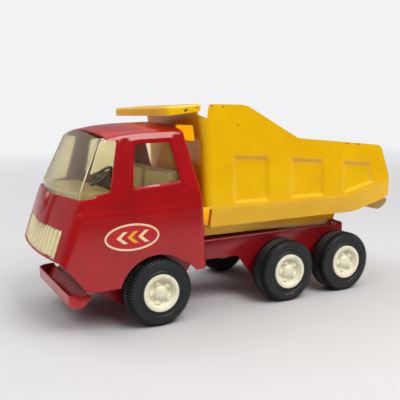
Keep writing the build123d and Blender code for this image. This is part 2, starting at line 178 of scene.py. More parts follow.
# A merged and bevelled copy of a CAD part, whose points reshape may move
def softened(nodeName, name, mat, bevel=0.25, segments=2, angle=35.0, reshape=None):
    source = frame["nodes"][nodeName]
    bm = bmesh.new()
    bm.from_mesh(source.data)
    bmesh.ops.transform(bm, matrix=fromFrame, verts=bm.verts)
    bmesh.ops.remove_doubles(bm, verts=bm.verts, dist=0.002)
    bmesh.ops.dissolve_limit(bm, angle_limit=math.radians(1.0), verts=bm.verts, edges=bm.edges)
    for v in bm.verts if reshape else ():
        v.co = reshape(v.co)
    copied = asObject(name, bm, [mat])
    return finishPiece(copied, source["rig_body"], [nodeName], bevel, segments, angle)


# Materials

def linear(hexCode):
    parts = [int(hexCode[n:n + 2], 16) / 255 for n in (1, 3, 5)]
    return (*(((c + 0.055) / 1.055) ** 2.4 if c > 0.04045 else c / 12.92 for c in parts), 1.0)


def addNode(tree, kind, links=None, **settings):
    made = tree.nodes.new(kind)
    for key, value in settings.items():
        setattr(made, key, value)
    for socket, value in (links or {}).items():
        if isinstance(value, bpy.types.NodeSocket):
            tree.links.new(value, made.inputs[socket])
        else:
            made.inputs[socket].default_value = value
    return made


def newMaterial(name):
    mat = bpy.data.materials.new(name)
    mat.use_nodes = True
    tree = mat.node_tree
    return mat, tree, tree.nodes["Principled BSDF"], addNode(tree, "ShaderNodeTexCoord").outputs["Object"]


def mixed(tree, share, first, second):
    return addNode(tree, "ShaderNodeMix", {0: share, 6: first, 7: second}, data_type="RGBA").outputs[2]


def noiseOf(tree, coords, sizeMm, detail=2.0, rough=0.5):
    links = {"Vector": coords, "Scale": 1000.0 / sizeMm, "Detail": detail, "Roughness": rough}
    return addNode(tree, "ShaderNodeTexNoise", links).outputs["Fac"]


def ranged(tree, value, low, high, newLow, newHigh):
    links = {"Value": value, "From Min": low, "From Max": high, "To Min": newLow, "To Max": newHigh}
    return addNode(tree, "ShaderNodeMapRange", links).outputs["Result"]


def maths(tree, operation, first, second):
    return addNode(tree, "ShaderNodeMath", {0: first, 1: second}, operation=operation).outputs[0]


def spotMask(tree, coords, spots, raggedMm=1.2):   # 1 inside ragged spots at given places
    ragged = addNode(tree, "ShaderNodeTexNoise", {"Vector": coords, "Scale": 1000.0 / raggedMm, "Detail": 2.0})
    push = addNode(tree, "ShaderNodeVectorMath", {0: ragged.outputs["Color"], 1: (0.5, 0.5, 0.5)},
                   operation="SUBTRACT").outputs[0]
    push = addNode(tree, "ShaderNodeVectorMath", {0: push, 1: (0.0022, 0.0022, 0.0022)},
                   operation="MULTIPLY").outputs[0]
    moved = addNode(tree, "ShaderNodeVectorMath", {0: coords, 1: push}, operation="ADD").outputs[0]
    mask = None
    for (x, y, z), radius, stretch in spots:
        centre = toFrame @ Vector((x, y, z))
        local = addNode(tree, "ShaderNodeVectorMath", {0: moved, 1: centre}, operation="SUBTRACT").outputs[0]
        local = addNode(tree, "ShaderNodeVectorMath", {0: local, 1: (1 / stretch, 1.0, 1.0)},
                        operation="MULTIPLY").outputs[0]
        reach = addNode(tree, "ShaderNodeVectorMath", {0: local}, operation="LENGTH").outputs["Value"]
        inside = maths(tree, "LESS_THAN", reach, radius * 0.001)
        mask = inside if mask is None else maths(tree, "MAXIMUM", mask, inside)
    return mask


enamelLook = {
    "peelMm": 1.6,            # orange peel of a dipped and stoved coat, drawn a little coarse so that it shows
    "cloudMm": 22.0,          # slow unevenness of an old coat
    "scuffMm": 0.45,
    "nickMm": 9.0,            # one possible nick in each cell of this size
}


def enamel(name, body, shade, metal, spots=(), roughness=0.16):
    # Stoved alkyd enamel on steel: deep even colour, wet gloss, faint orange peel, dark nicks where it chipped
    mat, tree, shader, coords = newMaterial(name)
    cloud = noiseOf(tree, coords, enamelLook["cloudMm"], 3.0)
    colour = mixed(tree, ranged(tree, cloud, 0.35, 0.7, 0.0, 1.0), linear(body), linear(shade))
    scuff = noiseOf(tree, coords, enamelLook["scuffMm"], 4.0, 0.7)
    cells = addNode(tree, "ShaderNodeTexVoronoi", {"Vector": coords, "Scale": 1000.0 / enamelLook["nickMm"]})
    chosen = maths(tree, "GREATER_THAN",
                   addNode(tree, "ShaderNodeSeparateColor", {0: cells.outputs["Color"]}).outputs[0], 0.86)
    nick = maths(tree, "MULTIPLY", chosen, maths(tree, "LESS_THAN", cells.outputs["Distance"], 0.035))
    if spots:
        nick = maths(tree, "MAXIMUM", nick, spotMask(tree, coords, spots))
    colour = mixed(tree, nick, colour, linear(metal))
    tree.links.new(colour, shader.inputs["Base Color"])
    rough = ranged(tree, scuff, 0.3, 0.75, roughness * 0.75, roughness * 1.5)
    rough = maths(tree, "MAXIMUM", rough, maths(tree, "MULTIPLY", nick, 0.55))
    tree.links.new(rough, shader.inputs["Roughness"])
    shader.inputs["IOR"].default_value = 1.5
    shader.inputs["Coat Weight"].default_value = 0.1
    shader.inputs["Coat Roughness"].default_value = 0.06
    peel = noiseOf(tree, coords, enamelLook["peelMm"], 1.0)
    height = maths(tree, "SUBTRACT", peel, maths(tree, "MULTIPLY", nick, 2.0))
    bump = addNode(tree, "ShaderNodeBump", {"Height": height, "Strength": 0.10, "Distance": 0.0003})
    tree.links.new(bump.outputs[0], shader.inputs["Normal"])
    return mat


def moulded(name, body, shade, roughness, grainMm, ior=1.5, bumpStrength=0.15, soil=None, spots=(),
            spotHex=None):
    # Injection-moulded plastic: colour all through, a fine mould grain and grime that settles in slow patches
    mat, tree, shader, coords = newMaterial(name)
    cloud = noiseOf(tree, coords, 9.0, 4.0)
    colour = mixed(tree, ranged(tree, cloud, 0.35, 0.7, 0.0, 1.0), linear(body), linear(shade))
    if soil:
        grime = noiseOf(tree, coords, 3.0, 5.0, 0.65)
        colour = mixed(tree, ranged(tree, grime, 0.52, 0.8, 0.0, 0.7), colour, linear(soil))
    if spots:
        colour = mixed(tree, spotMask(tree, coords, spots, 0.9), colour, linear(spotHex))
    tree.links.new(colour, shader.inputs["Base Color"])
    grain = noiseOf(tree, coords, grainMm, 2.0)
    tree.links.new(ranged(tree, grain, 0.3, 0.7, roughness * 0.8, roughness * 1.25), shader.inputs["Roughness"])
    shader.inputs["IOR"].default_value = ior
    bump = addNode(tree, "ShaderNodeBump", {"Height": grain, "Strength": bumpStrength, "Distance": 0.0001})
    tree.links.new(bump.outputs[0], shader.inputs["Normal"])
    return mat


def brightSteel(name):
    # Zinc-plated mild steel wire: grey metal with drawn lines along it and dull oxide patches
    mat, tree, shader, coords = newMaterial(name)
    stretched = addNode(tree, "ShaderNodeMapping", {"Vector": coords, "Scale": (1.0, 0.04, 1.0)}).outputs[0]
    lines = noiseOf(tree, stretched, 0.35, 3.0)
    oxide = noiseOf(tree, coords, 2.5, 4.0)
    colour = mixed(tree, ranged(tree, oxide, 0.45, 0.7, 0.0, 1.0), linear("#B9B8B2"), linear("#8A8073"))
    tree.links.new(colour, shader.inputs["Base Color"])
    tree.links.new(ranged(tree, lines, 0.3, 0.7, 0.25, 0.45), shader.inputs["Roughness"])
    shader.inputs["Metallic"].default_value = 1.0
    return mat


def agedGlazing(name):
    # Clear acetate gone yellow with age: wet gloss, faint scratches, a straw tint at each surface
    mat, tree, shader, coords = newMaterial(name)
    haze = noiseOf(tree, coords, 14.0, 4.0)
    colour = mixed(tree, ranged(tree, haze, 0.35, 0.7, 0.0, 1.0), linear("#F9F1D4"), linear("#F3E7C0"))
    tree.links.new(colour, shader.inputs["Base Color"])
    scratch = noiseOf(tree, coords, 0.6, 3.0)
    tree.links.new(ranged(tree, scratch, 0.3, 0.7, 0.02, 0.08), shader.inputs["Roughness"])
    shader.inputs["IOR"].default_value = 1.49
    shader.inputs["Transmission Weight"].default_value = 1.0
    return mat


yellowChips = [                              # place, radius, and how far the chip runs along the truck
    ((-20.4, 42.7, 120.9), 0.8, 1.3), ((-27.8, 42.7, 122.3), 0.45, 1.8), ((-24.0, 42.7, 118.5), 0.5, 1.6),
    ((-37.3, 42.7, 122.9), 0.6, 1.0), ((-44.6, 42.7, 122.4), 0.5, 1.4), ((-138.0, 42.7, 97.0), 0.45, 2.6),
    ((-147.0, 42.7, 96.4), 0.45, 3.0), ((-54.5, 42.7, 111.4), 0.35, 1.5), ((-52.0, 42.7, 61.3), 0.3, 3.0),
]
redChips = [((-29.0, 47.0, 45.2), 0.9, 1.0), ((-29.4, 47.0, 42.6), 0.4, 1.0), ((24.0, 46.4, 25.8), 0.35, 2.0)]
bumperRust = [((44.0 - 0.8 * n, 6.0 * n - 9.0, 16.4 + 0.5 * (n % 2)), 0.55, 1.4) for n in range(6)]

cabRed = enamel("stoved enamel, signal red", "#AE1217", "#9E1015", "#5A4A42", redChips)
chassisRed = enamel("stoved enamel, darker red", "#9C1A20", "#8A151B", "#3A2018", (), 0.2)
# lighter copy of the chassis red for the bumper tray: painted light on its upturned faces; the spots are rust
bumperLitRed = enamel("stoved enamel, signal red, painted light, rust spots", "#C42026", "#B41B21", "#3A2018", bumperRust, 0.22)
bedYellow = enamel("stoved enamel, chrome yellow", "#FCC400", "#F4B800", "#3A2A1E", yellowChips, 0.2)
# darker yellow for the tail flanges: painted shade on their underside; the higher roughness is a dull coat
bedUndersideShade = enamel("stoved enamel, dull, with painted shade on the underside", "#B98A1C", "#A67A18", "#3A2A1E", (), 0.4)
creamStyrene = moulded("moulded polystyrene, cream", "#F2EFD8", "#E8E3C8", 0.28, 0.5, 1.55, 0.1, "#D2C9A6")
grilleStyrene = moulded("moulded polystyrene, yellowed", "#F6EBBE", "#ECDCA4", 0.3, 0.5, 1.55, 0.1, "#CBB884")
# dark brown for the gaps between the grille ribs: painted shade in the recesses
grilleGapShade = moulded("moulded polystyrene, painted shade between the ribs", "#8E7742", "#77612F", 0.5, 0.5, 1.55, 0.1)
seatStyrene = moulded("moulded polystyrene, old ivory", "#E9DDB2", "#DACB98", 0.4, 0.6, 1.55, 0.12, "#A89668")
blackStyrene = moulded("moulded polystyrene, black", "#1B1917", "#26231F", 0.35, 0.5, 1.55, 0.1)
tyreVinyl = moulded("moulded vinyl, tyre black", "#101216", "#191B20", 0.46, 0.8, 1.5, 0.25, "#25272A",
                    [((axleShift, 48.9, 5.0), 0.7, 2.2) for axleShift in (-86.0, -89.5)], "#6B5430")
steelWire = brightSteel("zinc-plated steel wire")
glazing = agedGlazing("clear acetate, yellowed")
decalInks = [moulded("screen-printed vinyl, " + ink, body, shade, 0.3, 1.0, 1.5, 0.05)
             for ink, body, shade in (("cream", "#F4DDB4", "#EBCFA0"), ("crimson", "#C4202C", "#B51A26"),
                                      ("amber", "#F2B21C", "#E8A510"))]
print("materials made")


# Cab: one half is a sheet carried round the plan from the rear middle to the front middle, then mirrored

cab = {
    "rows": [(25.0, -30.3, 61.6, 47.0, 4.6), (68.3, -29.4, 45.9, 47.0, 4.7), (75.4, -28.6, 43.3, 45.7, 4.7),
             (108.6, -21.2, 27.6, 39.2, 3.6)],   # height, rear, front corner, half width, bow of the front
    "skirt": 25.4,
    "rearCorner": 3.2,
    "frontCorner": 4.2,
    "roofEdge": 3.6,
    "soften": 1.6,                           # how far a crease between two rows is blended
    "roofReach": 23.9,                       # how far the roof is drawn in before the last slit is filled
    "crown": [(31.0, 110.2), (28.0, 111.0), (17.5, 112.9), (6.5, 113.8), (-14.5, 114.2), (-24.0, 113.6)],
    "crownDrop": 4.0,                        # the roof is this much lower at its sides
    "aroundSteps": 150,
    "upSteps": 84,
    "window": [(9.9, 103.0), (-11.3, 103.4), (-15.7, 81.6), (13.3, 79.7)],
    "screen": [(37.4, 75.4), (60, 75.4), (60, 106.6), (19.6, 105.4), (26.4, 78.2), (34.8, 77.0)],
    "undercut": [(55.1, 42.9), (72, 42.9), (72, 20), (30, 20), (42.0, 26.3)],   # below the grille
    "archX": 0.8, "archZ": 17.8, "archRadius": 23.6, "archFoot": [(-22.8, 10), (24.4, 10)],
    "rearNotch": [(-23.2, 20), (-23.2, 29.4), (-17.4, 35.2), (-4, 34), (-4, 20)],   # behind the arch
    "rearFoot": [(-42, 20), (-23.1, 20), (-23.1, 29.4), (-42, 29.4)],
    "straddle": [(-30.1, 20), (30.1, 20), (30.1, 42.4), (-30.1, 42.4)],   # the rear wall over the chassis
    "rearWindow": [(-25, 84), (25, 84), (25, 102), (-25, 102)],
    "grilleLow": 43.6, "grilleHigh": 58.9, "grilleHalf": 36.9,
    "browX": 28.2, "browSweep": 2.4, "browLow": 105.0,
    "tab": (-21.6, 24.0, 42.4),
}


def cabRow(z):
    def exact(level):
        rows = cab["rows"]
        first = next((n for n in range(len(rows) - 2) if level < rows[n + 1][0]), len(rows) - 2)
        low, high = rows[first], rows[first + 1]
        share = (level - low[0]) / (high[0] - low[0])
        return [a + (b - a) * share for a, b in zip(low[1:], high[1:])]

    samples = [exact(z + cab["soften"] * n) for n in (-1.5, -0.5, 0.5, 1.5)]
    return [sum(values) / len(values) for values in zip(*samples)]


def cabPlan(u, z, inset=0.0, flat=0.0):      # point of the plan outline at a height, and its outward direction
    rear, corner, half, bow = cabRow(z)
    bow *= 1 - flat                          # the bow dies away as the roof closes on its middle line
    rear, corner, half = rear + inset, corner - inset, max(0.5, half - inset)
    room = max(0.02, min(half, (corner - rear) / 2 - 0.02))
    back, nose = min(cab["rearCorner"], room), min(cab["frontCorner"], room)
    edge = bow * (1 - ((half - nose) / half) ** 2)
    if u < 0.25:
        y = (half - back) * u / 0.25
        return Vector((rear, y, z)), Vector((-1, 0, 0))
    if u < 0.30:
        turn = math.radians(90) * (u - 0.25) / 0.05
        direction = Vector((-math.cos(turn), math.sin(turn), 0))
        return Vector((rear + back, half - back, z)) + direction * back, direction
    if u < 0.64:
        x = rear + back + (corner - nose - rear - back) * (u - 0.30) / 0.34
        return Vector((x, half, z)), Vector((0, 1, 0))
    if u < 0.70:
        turn = math.radians(90) * (u - 0.64) / 0.06
        direction = Vector((math.sin(turn), math.cos(turn), 0))
        x, y = corner - nose + (nose + edge) * direction.x, half - nose + nose * direction.y
        return Vector((x, y, z)), direction
    y = (half - nose) * (1 - u) / 0.30
    return Vector((corner + bow * (1 - (y / half) ** 2), y, z)), Vector((1, 0, 0))


def roofHeight(x, y):
    return along(cab["crown"], x) - cab["crownDrop"] * (y / 39.0) ** 2


def cabEmboss(point, direction):             # how far a pressed detail stands out from the cab's form
    x, y, z = point
    raised = 0.0
    if direction.y > 0.7:
        ring = outsideBy(cab["window"], x, z)
        raised += 0.5 * smoothStep(0.2, 1.4, ring) * (1 - smoothStep(2.0, 4.6, ring))
        screenRing = outsideBy(cab["screen"], x, z) if x < 44 else 9.0
        raised += 0.35 * smoothStep(0.2, 1.2, screenRing) * (1 - smoothStep(1.6, 3.6, screenRing))
        dimple = math.hypot(x + 16.7, (z - 78.2) * 0.9)
        raised -= 0.5 * (1 - smoothStep(0.6, 2.4, dimple))
        raised -= 0.5 * (1 - smoothStep(0.4, 3.0, abs(z - 69.4))) * smoothStep(-27.0, -22.0, x)
    if direction.x > 0.7 and z > cab["grilleHigh"] - 2:
        half = 11.5 + 3.5 * smoothStep(63.0, 77.5, z)
        raised += 1.3 * (1 - smoothStep(half - 0.7, half + 0.9, abs(y)))
        boss = math.hypot(y, z - 70.6)
        raised += 1.0 * (1 - smoothStep(4.3, 5.1, boss)) - 0.45 * math.exp(-((boss - 5.6) / 0.4) ** 2)
    return raised


def cabPoint(u, v, inset=0.0):
    side, direction = cabPlan(u, 105.0 - inset, inset)
    radius = max(cab["roofEdge"] - inset, 1.0)
    wallTop = roofHeight(side.x, side.y) - inset - radius
    wallShare, bendShare = 0.80, 0.88
    if v <= wallShare:
        z = cab["skirt"] + (wallTop - cab["skirt"]) * v / wallShare
        point, direction = cabPlan(u, z, inset)
        return point + direction * cabEmboss(point, direction)
    if v <= bendShare:
        turn = math.radians(90) * (v - wallShare) / (bendShare - wallShare)
        rise, drawn, flat = math.sin(turn), radius * (1 - math.cos(turn)), 0.0
    else:
        flat = (v - bendShare) / (1 - bendShare)
        rise, drawn = 1.0, radius + (cab["roofReach"] - radius) * flat
    point, direction = cabPlan(u, min(wallTop, 108.0), inset + drawn, flat)
    point.z = roofHeight(point.x, point.y) - inset - radius + radius * rise
    return point


def browEdge(y):                             # the roof's front edge, from above
    return cab["browX"] - cab["browSweep"] * (y / 38.0) ** 2


def buildCab():
    bm = bmesh.new()
    mappedSheet(bm, cab["aroundSteps"], cab["upSteps"], lambda u, v: cabPoint(u, v))
    bmesh.ops.mirror(bm, geom=bm.verts[:] + bm.edges[:] + bm.faces[:], axis="Y", merge_dist=0.01)
    bmesh.ops.remove_doubles(bm, verts=bm.verts, dist=0.05)
    slit = [e for e in bm.edges if e.is_boundary and e.verts[0].co.z > 100]
    bmesh.ops.triangle_fill(bm, use_beauty=True, edges=slit)
    bmesh.ops.recalc_face_normals(bm, faces=bm.faces)
    shell = thicken(asObject("cab_pressing", bm, [cabRed]))
    reach = 52.0
    cutters = bmesh.new()
    prism(cutters, cab["undercut"], -reach, reach)
    turns = [math.radians(a) for a in range(0, 181, 5)]
    arch = [(cab["archX"] + cab["archRadius"] * math.cos(a), cab["archZ"] + cab["archRadius"] * math.sin(a))
            for a in turns]
    prism(cutters, arch + cab["archFoot"], -reach, reach)
    prism(cutters, cab["rearNotch"], -reach, reach, radius=0.8)
    prism(cutters, cab["rearFoot"], -reach, reach)
    prism(cutters, cab["straddle"], -40, -20, "X", 1.0)
    prism(cutters, cab["screen"], -reach, reach, radius=1.6)
    brow = [(browEdge(y), y) for y in range(-46, 47, 4)]
    prism(cutters, brow + [(72, 46), (72, -46)], cab["browLow"], 130, "Z")
    prism(cutters, cab["window"], -reach, reach, radius=1.8)
    prism(cutters, cab["rearWindow"], -42, -12, "X", 2.0)
    half, low, high = cab["grilleHalf"], cab["grilleLow"], cab["grilleHigh"]
    prism(cutters, [(-half, low), (half, low), (half, high), (-half, high)], 44, 72, "X", 0.6)
    carve(shell, cutters)
    front, halfWidth, low = cab["tab"]
    tab = bmesh.new()
    tab.from_mesh(shell.data)
    prism(tab, [(-29.4, -halfWidth), (front, -halfWidth), (front, halfWidth), (-29.4, halfWidth)],
          low + 0.02, low + sheet, "Z")
    tab.to_mesh(shell.data)
    tab.free()
    return finishPiece(shell, "truck", ["cab_shell"], angle=32.0)


glazingLook = {"low": 73.2, "topMiddle": 110.3, "topFall": 4.4, "sideTop": 106.0}


def buildGlazing():                          # behind the side windows, flush with the front where it is open
    bm = bmesh.new()

    def liner(u, v):
        start = 0.315
        edge, direction = cabPlan(start + (1 - start) * u, 106.0, 1.05)
        top = glazingLook["topMiddle"] - glazingLook["topFall"] * (edge.y / 39.0) ** 2
        top = min(top, glazingLook["sideTop"]) if edge.x < 20 else top
        z = glazingLook["low"] + (top - glazingLook["low"]) * v
        outer, direction = cabPlan(start + (1 - start) * u, z, 0.0)
        proud = smoothStep(22.0, 28.0, outer.x) * smoothStep(76.5, 79.0, z)
        point, direction = cabPlan(start + (1 - start) * u, z, 1.1 - 0.9 * proud)
        return point

    mappedSheet(bm, 150, 48, liner)
    bmesh.ops.mirror(bm, geom=bm.verts[:] + bm.edges[:] + bm.faces[:], axis="Y", merge_dist=0.01)
    bmesh.ops.remove_doubles(bm, verts=bm.verts, dist=0.01)
    bmesh.ops.recalc_face_normals(bm, faces=bm.faces)
    pane = thicken(asObject("glazing_liner", bm, [glazing]), 0.8)
    return finishPiece(pane, "truck", ["windshield"], angle=40.0)


grille = {"ribs": 13, "half": 36.8, "low": 43.7, "high": 58.8, "set": 1.2, "ribRise": 1.05}


def buildGrille():
    bm = bmesh.new()
    ribs, half, low, high = (grille[key] for key in ("ribs", "half", "low", "high"))
    pitch = 2 * half / ribs

    def ribHeight(y):                        # rounded tops between flat-bottomed gaps
        across = ((y + half) / pitch) % 1.0
        return smoothStep(0.12, 0.28, across) * (1 - smoothStep(0.72, 0.88, across))

    def face(u, v):
        y = -half + 2 * half * u
        z = low + (high - low) * v
        rear, corner, width, bow = cabRow(z)
        edge = smoothStep(0.0, 0.04, v) * (1 - smoothStep(0.96, 1.0, v))
        surface = corner + bow * (1 - (y / width) ** 2)
        return (surface - grille["set"] + grille["ribRise"] * ribHeight(y) * edge, y, z)

    mappedSheet(bm, ribs * 14, 16, face)
    bmesh.ops.recalc_face_normals(bm, faces=bm.faces)
    # the gaps between the ribs take the painted shade
    for f in bm.faces:
        f.material_index = 1 if ribHeight(f.calc_center_median().y) < 0.3 else 0
    if sum((f.normal.x for f in bm.faces)) < 0:
        bmesh.ops.reverse_faces(bm, faces=bm.faces)
    plate = thicken(asObject("grille_moulding", bm, [grilleStyrene, grilleGapShade]), 0.8)
    return finishPiece(plate, "truck", ["grille"], angle=40.0)


buildCab()
buildGlazing()
buildGrille()
print("cab built")


# Bed sides: a flat blank pressed with three panels, its foot folded in and its front edge rolled round

bed = {
    "half": 42.7,
    "foot": [(-36.0, 39.7), (-141.6, 39.7), (-152.0, 40.3), (-175.4, 42.0)],
    "fold": [(-30.0, 63.3), (-141.6, 62.2), (-175.4, 71.4)],
    "bottom": [(-30.0, 51.9), (-141.6, 50.9), (-146.8, 51.2), (-152.0, 52.2), (-175.4, 60.0)],
    "top": [(-175.4, 71.4), (-174.6, 75.0), (-168.6, 91.6), (-167.6, 93.5), (-166.2, 94.6), (-164.4, 95.2),
            (-158.0, 96.0), (-100.6, 102.0), (-97.6, 102.6), (-94.8, 104.2), (-64.2, 121.2), (-61.0, 122.7),
            (-57.2, 123.4), (-35.9, 124.0), (-34.9, 116.0), (-26.2, 119.8)],
    "panels": [[(-50.8, 94.2), (-76.9, 92.3), (-77.6, 63.8), (-50.8, 64.4)],
               [(-92.6, 90.6), (-119.2, 88.2), (-120.0, 63.6), (-92.4, 64.0)],
               [(-134.4, 86.4), (-158.6, 84.0), (-163.0, 69.6), (-134.8, 63.4)]],
    "panelDepth": 1.5, "panelBevel": 3.0,
    "roll": 5.0, "rollX": -37.1, "rollLow": 64.2, "flangeY": 34.6,   # the front edge, wrapped on the headboard
    "rollFrom": -36.1,
    "footReturn": [(-36.6, 42.2, 63.0), (-36.6, 38.9, 62.6), (-36.6, 36.3, 52.5), (-36.6, 39.5, 52.2)],
    "leanFrom": 100.0, "lean": 0.105,
    "lengthSteps": 190, "heightSteps": 84,
}


def bedSidePoint(u, v):
    rollLength = bed["roll"] * math.pi / 2
    flatFront = bed["rollX"] + rollLength + (bed["half"] - bed["roll"] - bed["flangeY"])
    x = bed["top"][0][0] + (flatFront - bed["top"][0][0]) * u
    high, low = along(bed["top"], x), along(bed["bottom"], x)
    z = low + (high - low) * v
    fold = along(bed["fold"], x)
    slope = (bed["half"] - along(bed["foot"], min(x, -36.0))) / (fold - low)
    under = fold - z
    drawn = slope * (under if under > 1.2 else (under + 1.2) ** 2 / 4.8 if under > -1.2 else 0.0)
    y = bed["half"] - drawn
    for panel in bed["panels"]:
        depth = -outsideBy(panel, x, z)
        y -= bed["panelDepth"] * smoothStep(0.0, bed["panelBevel"], depth)
    if x <= bed["rollX"]:
        return Vector((x, y, z))
    past = x - bed["rollX"]
    turn = min(past / bed["roll"], math.pi / 2)
    lean = max(0.0, z - bed["leanFrom"]) * bed["lean"] * min(1.0, past / rollLength)
    return Vector((bed["rollX"] + bed["roll"] * math.sin(turn) + lean,
                   y - bed["roll"] * (1 - math.cos(turn)) - max(0.0, past - rollLength), z))


def buildBedSide(side, name):
    bm = bmesh.new()
    mappedSheet(bm, bed["lengthSteps"], bed["heightSteps"], bedSidePoint)

    front = [f for f in bm.faces if f.calc_center_median().x > bed["rollFrom"]]
    geom = front + list({e for f in front for e in f.edges}) + list({v for f in front for v in f.verts})
    level = bed["rollLow"]
    bmesh.ops.bisect_plane(bm, geom=geom, plane_co=(0, 0, level), plane_no=(0, 0, 1), dist=1e-5)
    foot = [f for f in bm.faces if f.calc_center_median().x > bed["rollFrom"]
            and f.calc_center_median().z < level]
    bmesh.ops.delete(bm, geom=foot, context="FACES")
    bm.faces.new([bm.verts.new(p) for p in bed["footReturn"]])
    if side < 0:
        bmesh.ops.scale(bm, vec=(1, -1, 1), verts=bm.verts)
    bmesh.ops.recalc_face_normals(bm, faces=bm.faces)
    flat = [f for f in bm.faces if -130 < f.calc_center_median().x < -60]
    if sum(f.normal.y * side for f in flat) < 0:
        bmesh.ops.reverse_faces(bm, faces=bm.faces)
    obj = thicken(asObject(f"bed_wall_{name}", bm, [bedYellow]))
    return finishPiece(obj, "bed", [f"bed_side_{name}"], angle=50.0)


for side, name in ((1, "left"), (-1, "right")):
    buildBedSide(side, name)
print("bed sides built")


# Headboard and canopy: a shallow tray over the cab, whose rear wall runs down as the headboard

canopy = {
    "front": -9.2, "frontTop": 123.0, "rearTop": 124.3, "lip": 5.1, "lipRear": (-29.4, 120.0),
    "half": 42.7, "boardHalf": 37.5, "boardLow": 52.6, "lowHalf": 35.0, "narrowBelow": 64.0,
    "edge": 1.4, "windows": (5.9, 30.6, 102.7, 112.0),
}


def boardX(z):
    return -33.0 + max(0.0, z - bed["leanFrom"]) * bed["lean"]


def buildHeadboard():
    bm = bmesh.new()
    bmesh.ops.create_cube(bm, size=1.0)
    lipLow = canopy["frontTop"] - canopy["lip"]
    for v in bm.verts:
        front = v.co.x > 0
        z = (canopy["frontTop"] if front else canopy["rearTop"]) if v.co.z > 0 else lipLow
        v.co = (canopy["front"] if front else boardX(z), math.copysign(canopy["half"], v.co.y), z)
    underside = [f for f in bm.faces if f.normal.z < -0.5]
    bmesh.ops.delete(bm, geom=underside, context="FACES_ONLY")
    top = canopy["rearTop"]
    edges = [e for e in bm.edges if min(v.co.z for v in e.verts) > lipLow + 1
             or (e.calc_length() < 9 and max(v.co.x for v in e.verts) > -12)]
    bmesh.ops.bevel(bm, geom=edges, offset=canopy["edge"], offset_type="OFFSET", segments=4, profile=0.5,
                    affect="EDGES", material=-1)
    for y in (canopy["boardHalf"], -canopy["boardHalf"]):
        everything = bm.verts[:] + bm.edges[:] + bm.faces[:]
        bmesh.ops.bisect_plane(bm, geom=everything, plane_co=(0, y, 0), plane_no=(0, 1, 0), dist=1e-5)
    half = canopy["boardHalf"]
    rearWings = [f for f in bm.faces if f.normal.x < -0.7 and abs(f.calc_center_median().y) > half]
    bmesh.ops.delete(bm, geom=rearWings, context="FACES")
    # the side lips run up to the rear from the front lip's lower edge
    rise = Vector((canopy["lipRear"][0] - canopy["front"], 0, canopy["lipRear"][1] - lipLow))
    for start, slant in (((canopy["front"], 0, lipLow), rise),
                         ((canopy["lipRear"][0], 0, canopy["lipRear"][1]),
                          Vector((boardX(top) - canopy["lipRear"][0], 0, top - canopy["lipRear"][1])))):
        lips = [f for f in bm.faces if abs(f.calc_center_median().y) > canopy["boardHalf"] + 1
                and f.calc_center_median().x < canopy["front"] - 0.01]
        geom = lips + list({e for f in lips for e in f.edges}) + list({v for f in lips for v in f.verts})
        normal = Vector((-slant.z, 0, slant.x))
        bmesh.ops.bisect_plane(bm, geom=geom, plane_co=start, plane_no=normal if normal.z < 0 else -normal,
                               clear_outer=True, dist=1e-5)
    # headboard down from the tray's rear wall
    lower = [e for e in bm.edges if e.is_boundary and all(abs(v.co.z - lipLow) < 0.01 and v.co.x < -25
                                                           for v in e.verts)]
    for level in (bed["leanFrom"], canopy["narrowBelow"], canopy["boardLow"]):
        made = bmesh.ops.extrude_edge_only(bm, edges=lower)
        lower = [g for g in made["geom"] if isinstance(g, bmesh.types.BMEdge)
                 and all(v in made["geom"] for v in g.verts)]
        for v in {v for e in lower for v in e.verts}:
            v.co = (boardX(level), v.co.y, level)
    bmesh.ops.recalc_face_normals(bm, faces=bm.faces)
    if sum(f.normal.z * f.calc_area() for f in bm.faces if f.calc_center_median().z > 121) < 0:
        bmesh.ops.reverse_faces(bm, faces=bm.faces)
    board = thicken(asObject("headboard_and_canopy", bm, [bedYellow]))
    cutters = bmesh.new()
    inner, outer, low, high = canopy["windows"]
    for side in (1, -1):
        prism(cutters, [(side * inner, low), (side * outer, low), (side * outer, high), (side * inner, high)],
              -45, -20, "X", 1.2)
        narrow = canopy["lowHalf"]
        prism(cutters, [(side * narrow, 40), (side * 60, 40), (side * 60, canopy["narrowBelow"]),
                        (side * narrow, canopy["narrowBelow"])], -45, -25, "X", 0.8)
    carve(board, cutters)
    return finishPiece(board, "bed", ["bed_headboard"], angle=40.0)


tail = {"ramp": [(-157.6, 53.1), (-174.9, 57.3), (-180.0, 58.5)], "from": -160.0, "beyond": 36.0, "lean": 0.6,
        "dullWithPaintedShadeBelow": 0.8}


def tailDrop(point):                         # how far a point of the tail flanges hangs below the ramp
    hangs = point.x < tail["from"] and abs(point.y) > tail["beyond"]
    return along(tail["ramp"], point.x) - point.z if hangs else 0.0


def tailTuck(point):                         # the flanges lean in towards their feet
    drop = max(0.0, tailDrop(point))
    return Vector((point.x, point.y - math.copysign(tail["lean"] * drop, point.y), point.z))


buildHeadboard()
pan = softened("bed_floor", "bed_pan", bedYellow, reshape=tailTuck)
# tail flange faces hanging below the ramp take the darker yellow of painted shade
pan.data.materials.append(bedUndersideShade)
for polygon in pan.data.polygons:
    if tailDrop(fromFrame @ polygon.center) > tail["dullWithPaintedShadeBelow"]:
        polygon.material_index = 1
softened("bed_subframe", "bed_channel", bedYellow)
softened("bed_rivets", "bed_rivet_heads", bedYellow, 0.0)
print("bed built")


